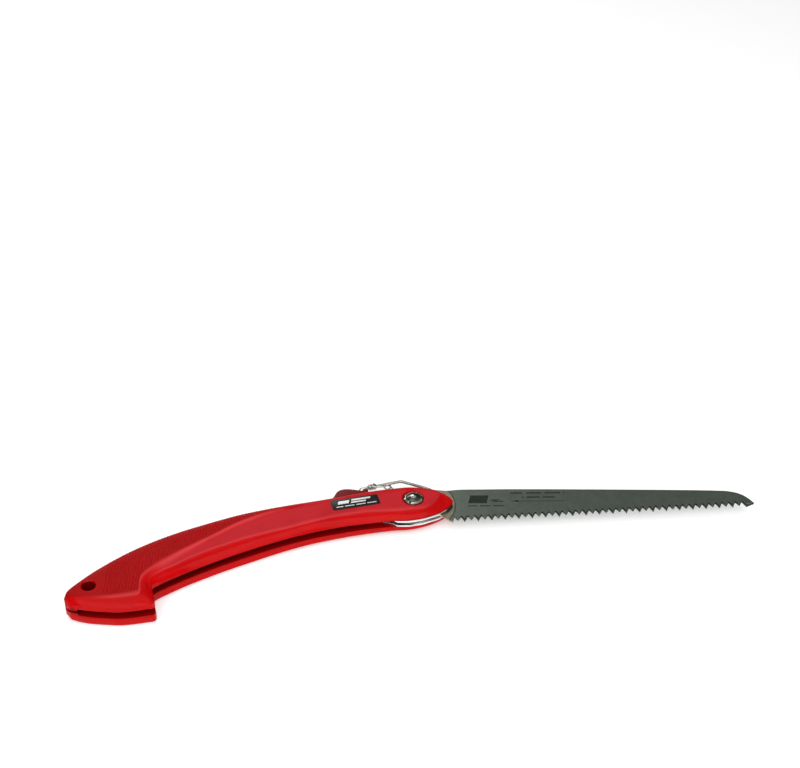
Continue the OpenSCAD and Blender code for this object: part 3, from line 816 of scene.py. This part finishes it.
spineLine = [(14, 14.3), (20.5, 13.6), (28, 14.5), (40, 14.6), (64, 14.6), (112, 13.8), (160, 12.7),
             (184.5, 11.8), (190.4, 11), (195, 9.4), (198.6, 6.6), (201.2, 3.2), (203, 0)]
tangLine = [(-14.6, -7.4), (-19.4, -5.2), (-22, -5.1), (-25.7, -4.7), (-27.5, -3.6), (-28.3, -1.4),
            (-27.3, 0.9), (-24.7, 3.9), (-20.6, 7.6), (-16.7, 9.9), (-12.6, 11.6), (-8.9, 12.8),
            (-4, 14.6), (2, 15.9), (8, 15.8), (14, 14.3)]
heelLine = [(23, -15.2), (19.4, -12.6), (16.1, -9.6), (12, -9.2), (8, -11.2), (0, -13.5), (-8, -12.2),
            (-13, -9.4), (-14.6, -7.4)]


def makeBlade(sizes):
    rim = [tuple(p) for p in smoothLine(spineLine, 6)][::-1][1:]
    rim += [tuple(p) for p in smoothLine(tangLine, 5)][::-1][1:]
    rim += [tuple(p) for p in smoothLine(heelLine, 5)][::-1][1:]
    tip = (sizes["reach"], 0.0)
    half, pitch = sizes["half"], sizes["pitch"]
    heights = (-half, -half + sizes["ease"], half - sizes["ease"], half)
    rings = []
    for layer, z in enumerate(heights):
        ring = []
        for i in range(sizes["teeth"]):  # each second tooth is ground on the other side
            x = sizes["firstTooth"] + (i + 0.5) * pitch
            y = sizes["tipStart"][1] + (x - sizes["tipStart"][0]) * sizes["tipRise"]
            ground = (layer if i % 2 else 3 - layer) / 3
            root = sizes["grindRoot"] * (0.5 if layer in (1, 2) else 1)
            ring.append((x - pitch / 2, y + sizes["depth"] + root))
            ring.append((x, y + sizes["grindUp"] * ground ** sizes["bend"]))
        ring += [tip] + inset([tip] + rim, sizes["edge"] if layer in (0, 3) else 0.0)[1:]
        if layer in (0, 3):
            ring[2 * sizes["teeth"]] = (tip[0] - sizes["edge"], tip[1])
        rings.append([(x, y, z) for x, y in ring])
    blade = build("saw_blade", *ringed(rings))
    outward(blade)
    notch = [(14.4, 4.5), (16.8, 4.5), (16.8, 30), (12.1, 30), (12.1, 12.3), (14.4, 9.2)]
    bore, wide = sizes["bore"], sizes["bore"] + sizes["boreFlare"]
    shapes = [lathe([(wide, -3), (wide, -half), (bore, -0.5), (bore, 0.5), (wide, half), (wide, 3)],
                    (0, 0), 56)]
    for angle in (tiltDegrees, tiltDegrees + foldDegrees):
        turn = Matrix.Rotation(math.radians(angle), 2)
        shapes.append(prism([tuple(turn @ Vector(p)) for p in notch], -4, 4))
    cut(blade, shapes)
    finished(blade, "blade_steel", "blade", ("blade",), toBlade, 12)
    print("blade:", len(blade.data.polygons), "faces")


makeBlade(bladeSizes)


boltSizes = {
    "seat": 4.8, "radius": 5.8, "rim": 1.25, "dome": 1.3, "shank": 3.45, "notch": 0.85, "notchRing": 5.0,
    "sides": 96,
}


def makeBolt(sizes):
    seat, radius, top = sizes["seat"], sizes["radius"], sizes["seat"] + sizes["rim"]
    shank, ring = sizes["shank"], sizes["notchRing"]
    profile = [(shank - 0.3, -5.88), (shank, -5.6), (shank, seat), (radius - 0.35, seat),
               (radius - 0.08, seat + 0.12), (radius, seat + 0.4), (radius, top - 0.35),
               (radius - 0.1, top - 0.1), (radius - 0.35, top + 0.06)]
    bend = (radius ** 2 + sizes["dome"] ** 2) / (2 * sizes["dome"])
    for k in range(1, 17):
        r = (radius - 0.45) * (1 - k / 16) + 0.02
        groove = 0.16 * math.exp(-((r - 4.05) / 0.22) ** 2)  # shallow turned ring
        profile.append((r, top + sizes["dome"] - (bend - math.sqrt(bend ** 2 - r ** 2)) - groove))
    bolt = build("pivot_bolt_domed", *lathe(profile, (0, 0), sizes["sides"]))
    outward(bolt)
    turns = [math.radians(a) for a in (45, 135, 225, 315)]
    cut(bolt, [disc(ring * math.cos(a), ring * math.sin(a), sizes["notch"], 5.6, 9, 20) for a in turns])
    finished(bolt, "bolt_chrome", "handle", ("pivot_bolt",), toHandle, 28)


makeBolt(boltSizes)

easedPieces = {  # CAD solids kept in shape, with eased edges: new name, edge, finish, body
    "right_liner": ("right_liner_plate", 0.16, "liner_steel", "handle"),
    "left_liner": ("left_liner_plate", 0.16, "liner_steel", "handle"),
    "liner_pins": ("liner_dowels", 0.12, "pin_steel", "handle"),
    "shell_screws": ("cross_head_screws", 0.16, "screw_steel", "handle"),
    "screw_inserts": ("brass_inserts", 0.15, "brass", "handle"),
    "pivot_bush": ("pivot_bush_turned", 0.12, "brass", "handle"),
    "pivot_nut": ("slotted_nut", 0.28, "pin_steel", "handle"),
    "spring_washer": ("split_washer", 0.12, "spring_steel", "handle"),
    "right_blade_washer": ("right_bronze_washer", 0.05, "brass", "handle"),
    "left_blade_washer": ("left_bronze_washer", 0.05, "brass", "handle"),
    "lever_plate": ("lock_lever_plate", 0.22, "spring_steel", "lock"),
    "pad_rivets": ("pad_rivets_headed", 0.20, "pin_steel", "lock"),
    "lever_pin": ("lever_pin_turned", 0.20, "pin_steel", "handle"),
    "lever_spacers": ("lever_spacers_turned", 0.15, "brass", "handle"),
}
for node, (name, width, finish, body) in easedPieces.items():
    finished(bevelledCopy(name, node, width), finish, body, (node,), None, 32)
print("eased pieces:", len(easedPieces))


labelSizes = {
    "length": 28.6, "width": 9.2, "corner": 1.0, "thick": 0.3, "edge": 0.12, "gap": 0.02, "slope": 0.025,
    "centre": (-33.8, 7.4), "turn": -5.6,
}


def makeLabel(sizes):
    half, wide, r = sizes["length"] / 2, sizes["width"] / 2, sizes["corner"]
    outline = []
    for sx, sy, start in ((1, -1, -90), (1, 1, 0), (-1, 1, 90), (-1, -1, 180)):
        for k in range(7):
            a = math.radians(start + 15 * k)
            outline.append((sx * (half - r) + r * math.cos(a), sy * (wide - r) + r * math.sin(a)))
    label = build("label_plate", *pillow(outline, 0, sizes["thick"], sizes["edge"], 4))
    x, y = sizes["centre"]
    fall, height = math.atan(sizes["slope"]), straight(x, halfThickLine) + sizes["gap"]
    seat = (Matrix.Translation((x, y, height)) @ Matrix.Rotation(fall, 4, "Y")
            @ Matrix.Rotation(math.radians(sizes["turn"]), 4, "Z"))
    finished(label, "black_label", "handle", ("name_plate",), toHandle @ seat, 40)


makeLabel(labelSizes)


padLine = [(-46, 17.4), (-44.6, 19.6), (-42, 22.6), (-39.5, 25.4), (-36.7, 26.7), (-33, 26.2),
           (-29, 24.2), (-26, 22.2), (-24.7, 21.2), (-23.2, 22.3), (-21.4, 22.0), (-21.0, 20.5),
           (-23.4, 18.8), (-30, 17.8), (-40, 17.2)]
padMiddle = [(-44.2, 18.7), (-40, 20.4), (-35.8, 21.8), (-31, 20.9), (-26, 20.0), (-22.4, 20.7)]
padSizes = {"half": 3.42, "roll": 1.5, "mostIn": 0.75, "steps": 8}
wireSizes = {
    "radius": 0.9, "bend": 1.404,
    "path": [(-17.2, 25.7, 0), (1.5, 24.6, 0), (13.3, 12.9, 0), (15.6, 9.8, 0), (15.6, 4.9, 0)],
}
springSizes = {"radius": 0.45, "coil": 1.9, "centre": (-9.2, 19.4), "turn": 480, "low": 3.2, "rise": -0.95}


def makePad():  # crowned pad, whose rims roll in towards its middle line
    outline = [Vector(p) for p in smoothLine(padLine, 6, True)][::-1]
    middle = smoothLine(padMiddle, 8)
    half, roll, steps = padSizes["half"], padSizes["roll"], padSizes["steps"]
    rings = []
    for k in range(steps + 1):
        a = math.pi / 2 * k / steps
        ring = []
        for p in outline:
            core = min(middle, key=lambda c: (c - p).length)
            share = min(roll * (1 - math.cos(a)) / (core - p).length, padSizes["mostIn"])
            ring.append(p.lerp(core, share))
        rings.append([(p.x, p.y, half - roll * (1 - math.sin(a))) for p in ring])
    lower = [[(x, y, -z) for x, y, z in ring] for ring in rings[::-1]]
    pad = build("thumb_pad_moulded", *ringed(lower + rings))
    outward(pad)
    finished(pad, "maroon_pad", "lock", ("thumb_pad",), toHandle, 40)


def makeFerrule():  # crimped sleeve that joins the wire to the lever, with three pressed bands
    profile = [(-19.0, 1.30), (-18.8, 1.62), (-18.0, 1.66), (-17.7, 1.34), (-17.4, 1.34), (-17.1, 1.66),
               (-16.6, 1.68), (-16.3, 1.36), (-16.0, 1.36), (-15.7, 1.66), (-14.9, 1.62), (-14.5, 1.38),
               (-14.1, 1.10)]
    rings = []
    for x, half in profile:
        ring = []
        for k in range(28):
            a = 2 * math.pi * k / 28
            c, s = math.cos(a), math.sin(a)
            squared = 1 / (abs(c) ** 5 + abs(s) ** 5) ** 0.2
            ring.append((x, 25.75 - 0.04 * (x + 17) + half * 0.98 * squared * c, half * squared * s))
        rings.append(ring)
    sleeve = build("crimped_ferrule", *ringed(rings))
    outward(sleeve)
    finished(sleeve, "pin_steel", "lock", ("ferrule",), toHandle, 45)


def makeWire(sizes):
    path = rounded(sizes["path"], sizes["bend"])
    wire = build("locking_wire_bent", *tube(path, sizes["radius"], 24))
    outward(wire)
    finished(wire, "wire_steel", "lock", ("locking_wire",), toHandle, 60)


def makeSpring(sizes):
    x, y = sizes["centre"]
    coil = [(x + sizes["coil"] * math.cos(math.radians(a)), y + sizes["coil"] * math.sin(math.radians(a)),
             sizes["low"] + sizes["rise"] * a / 360) for a in range(0, sizes["turn"] + 1, 12)]
    foot = [(x + sizes["coil"], 11.2 + k, sizes["low"]) for k in range(8)]
    end = Vector((-17.4, 23.2, 2.05))
    arm = [Vector(coil[-1]).lerp(end, k / 6) for k in range(1, 7)]
    spring = build("lock_spring_wound", *tube(foot + coil + arm, sizes["radius"], 14))
    outward(spring)
    spring.data.transform(toHandle)
    spring.data.materials.append(finishes["spring_steel"])
    spring.data.polygons.foreach_set("use_smooth", [True] * len(spring.data.polygons))
    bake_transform(spring)
    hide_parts("lock_spring")


makePad()
makeFerrule()
makeWire(wireSizes)
makeSpring(springSizes)
print("lock made")


floorHalf = 4.0
floor = build("floor", [(-floorHalf, -floorHalf, 0), (floorHalf, -floorHalf, 0), (floorHalf, floorHalf, 0),
                        (-floorHalf, floorHalf, 0)], [[0, 1, 2, 3]])
floor.data.materials.append(floorFinish())

world = bpy.data.worlds.new("pale_room")
world.use_nodes = True
bpy.context.scene.world = world
sky = world.node_tree
ramp = sky.nodes.new("ShaderNodeValToRGB")
direction = sky.nodes.new("ShaderNodeTexCoord")
split = sky.nodes.new("ShaderNodeSeparateXYZ")
sky.links.new(direction.outputs["Generated"], split.inputs[0])
sky.links.new(split.outputs[2], ramp.inputs[0])
sky.links.new(ramp.outputs[0], sky.nodes["Background"].inputs[0])
for place, level in ((0.16, 0.10), (0.40, 0.10), (0.60, 0.40), (0.80, 0.80)):
    stop = ramp.color_ramp.elements.new(place)
    stop.color = (level, level, level * 1.01, 1)
ramp.color_ramp.elements[0].color = (0.7, 0.7, 0.7, 1)
sky.nodes["Background"].inputs[1].default_value = 0.62
bpy.context.scene.view_settings.view_transform = "Standard"

lamps = {  # place, aim, size, power
    "front_key": ((0.05, -1.05, 1.02), (0.0, 0.0, 0.0), (2.4, 1.4), 26),
    "broad_top": ((-0.25, 0.15, 1.35), (0.0, 0.0, 0.0), (1.3, 0.9), 4),
    "back_strip": ((-0.5, 1.15, 0.75), (-0.05, 0.0, 0.0), (1.1, 0.22), 3),
}
for name, (spot, aim, size, power) in lamps.items():
    data = bpy.data.lights.new(name, "AREA")
    data.shape, data.size, data.size_y, data.energy = "RECTANGLE", size[0], size[1], power
    lamp = link(name, data)
    lamp.location = spot
    lamp.rotation_euler = (Vector(aim) - Vector(spot)).to_track_quat("-Z", "Y").to_euler()

cameraSizes = {"distance": 0.864, "elevation": 39.1, "turn": -1.33, "focal": 1448.0, "width": 800.0,
               "pivotAt": (14.2, -121.8)}


def makeCamera(sizes):
    e, a = math.radians(sizes["elevation"]), math.radians(sizes["turn"])
    right = Vector((math.cos(a), math.sin(a), 0))
    ahead = Vector((-math.sin(a), math.cos(a), 0)) * math.cos(e) - Vector((0, 0, math.sin(e)))
    up = right.cross(ahead)
    data = bpy.data.cameras.new("camera")
    data.lens = sizes["focal"] / sizes["width"] * data.sensor_width
    camera = link("camera", data)
    camera.location = pivot - ahead * sizes["distance"]
    look = ahead * sizes["focal"] - right * sizes["pivotAt"][0] - up * sizes["pivotAt"][1]
    camera.rotation_euler = look.to_track_quat("-Z", "Y").to_euler()
    bpy.context.scene.camera = camera


makeCamera(cameraSizes)
print("floor, light and camera made")
